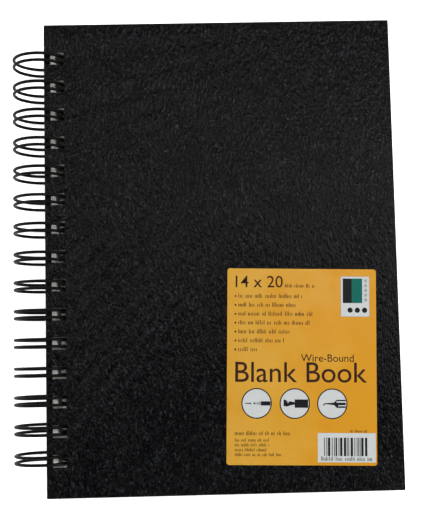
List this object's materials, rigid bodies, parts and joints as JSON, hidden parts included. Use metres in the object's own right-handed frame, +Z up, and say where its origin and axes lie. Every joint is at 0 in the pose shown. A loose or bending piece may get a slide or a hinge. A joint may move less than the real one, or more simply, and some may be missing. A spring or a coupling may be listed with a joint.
{
  "type": "wire-bound hardcover sketchbook",
  "caption": "Black leatherette hardcover sketchbook, punched and bound along its left edge with a twin-loop wire, with turning leaves and a printed cover label.",
  "frame": {"origin": "middle of the outer box in plan, at the lowest wire, with the closed book lying level on its back cover", "axes": "+Z up through the closed book, out of the front cover; +Y along the binding towards the head; +X from the binding towards the fore edge"},
  "size_m": [0.171, 0.2096, 0.0255],
  "materials": {
    "leatherette": "embossed, satin",
    "greyboard": "matte",
    "endpaper": "matte",
    "drawing_paper": "matte, slightly toothed",
    "label": "printed, semi-gloss",
    "wire": "black, semi-gloss coating"
  },
  "bodies": {
    "back_cover": {"back_cover_board": "greyboard", "back_cover_wrap": "leatherette", "back_cover_lining": "endpaper", "binding_wire": "wire"},
    "sheet_80": {"sheet_80": "drawing_paper"},
    "sheets_71_to_79": {"sheets_71_to_79": "drawing_paper"},
    "sheets_61_to_70": {"sheets_61_to_70": "drawing_paper"},
    "sheets_51_to_60": {"sheets_51_to_60": "drawing_paper"},
    "sheets_41_to_50": {"sheets_41_to_50": "drawing_paper"},
    "sheets_31_to_40": {"sheets_31_to_40": "drawing_paper"},
    "sheets_21_to_30": {"sheets_21_to_30": "drawing_paper"},
    "sheets_11_to_20": {"sheets_11_to_20": "drawing_paper"},
    "sheets_06_to_10": {"sheets_06_to_10": "drawing_paper"},
    "sheet_05": {"sheet_05": "drawing_paper"},
    "sheet_04": {"sheet_04": "drawing_paper"},
    "sheet_03": {"sheet_03": "drawing_paper"},
    "sheet_02": {"sheet_02": "drawing_paper"},
    "sheet_01": {"sheet_01": "drawing_paper"},
    "front_cover": {"front_cover_board": "greyboard", "front_cover_wrap": "leatherette", "front_cover_lining": "endpaper", "cover_label": "label"}
  },
  "joints": [
    {"name": "turn_sheet_80", "type": "hinge", "parent": "back_cover", "child": "sheet_80", "pos_m": [-0.07272, 0, 0.0128], "axis": [0, -1, 0], "range_deg": [0, 180]},
    {"name": "turn_sheets_71_to_79", "type": "hinge", "parent": "sheet_80", "child": "sheets_71_to_79", "pos_m": [-0.07272, 0, 0.0128], "axis": [0, -1, 0], "range_deg": [0, 180]},
    {"name": "turn_sheets_61_to_70", "type": "hinge", "parent": "sheets_71_to_79", "child": "sheets_61_to_70", "pos_m": [-0.07272, 0, 0.0128], "axis": [0, -1, 0], "range_deg": [0, 180]},
    {"name": "turn_sheets_51_to_60", "type": "hinge", "parent": "sheets_61_to_70", "child": "sheets_51_to_60", "pos_m": [-0.07272, 0, 0.0128], "axis": [0, -1, 0], "range_deg": [0, 180]},
    {"name": "turn_sheets_41_to_50", "type": "hinge", "parent": "sheets_51_to_60", "child": "sheets_41_to_50", "pos_m": [-0.07272, 0, 0.0128], "axis": [0, -1, 0], "range_deg": [0, 180]},
    {"name": "turn_sheets_31_to_40", "type": "hinge", "parent": "sheets_41_to_50", "child": "sheets_31_to_40", "pos_m": [-0.07272, 0, 0.0128], "axis": [0, -1, 0], "range_deg": [0, 180]},
    {"name": "turn_sheets_21_to_30", "type": "hinge", "parent": "sheets_31_to_40", "child": "sheets_21_to_30", "pos_m": [-0.07272, 0, 0.0128], "axis": [0, -1, 0], "range_deg": [0, 180]},
    {"name": "turn_sheets_11_to_20", "type": "hinge", "parent": "sheets_21_to_30", "child": "sheets_11_to_20", "pos_m": [-0.07272, 0, 0.0128], "axis": [0, -1, 0], "range_deg": [0, 180]},
    {"name": "turn_sheets_06_to_10", "type": "hinge", "parent": "sheets_11_to_20", "child": "sheets_06_to_10", "pos_m": [-0.07272, 0, 0.0128], "axis": [0, -1, 0], "range_deg": [0, 180]},
    {"name": "turn_sheet_05", "type": "hinge", "parent": "sheets_06_to_10", "child": "sheet_05", "pos_m": [-0.07272, 0, 0.0128], "axis": [0, -1, 0], "range_deg": [0, 180]},
    {"name": "turn_sheet_04", "type": "hinge", "parent": "sheet_05", "child": "sheet_04", "pos_m": [-0.07272, 0, 0.0128], "axis": [0, -1, 0], "range_deg": [0, 180]},
    {"name": "turn_sheet_03", "type": "hinge", "parent": "sheet_04", "child": "sheet_03", "pos_m": [-0.07272, 0, 0.0128], "axis": [0, -1, 0], "range_deg": [0, 180]},
    {"name": "turn_sheet_02", "type": "hinge", "parent": "sheet_03", "child": "sheet_02", "pos_m": [-0.07272, 0, 0.0128], "axis": [0, -1, 0], "range_deg": [0, 180]},
    {"name": "turn_sheet_01", "type": "hinge", "parent": "sheet_02", "child": "sheet_01", "pos_m": [-0.07272, 0, 0.0128], "axis": [0, -1, 0], "range_deg": [0, 180]},
    {"name": "turn_front_cover", "type": "hinge", "parent": "sheet_01", "child": "front_cover", "pos_m": [-0.07272, 0, 0.0128], "axis": [0, -1, 0], "range_deg": [0, 180]}
  ]
}
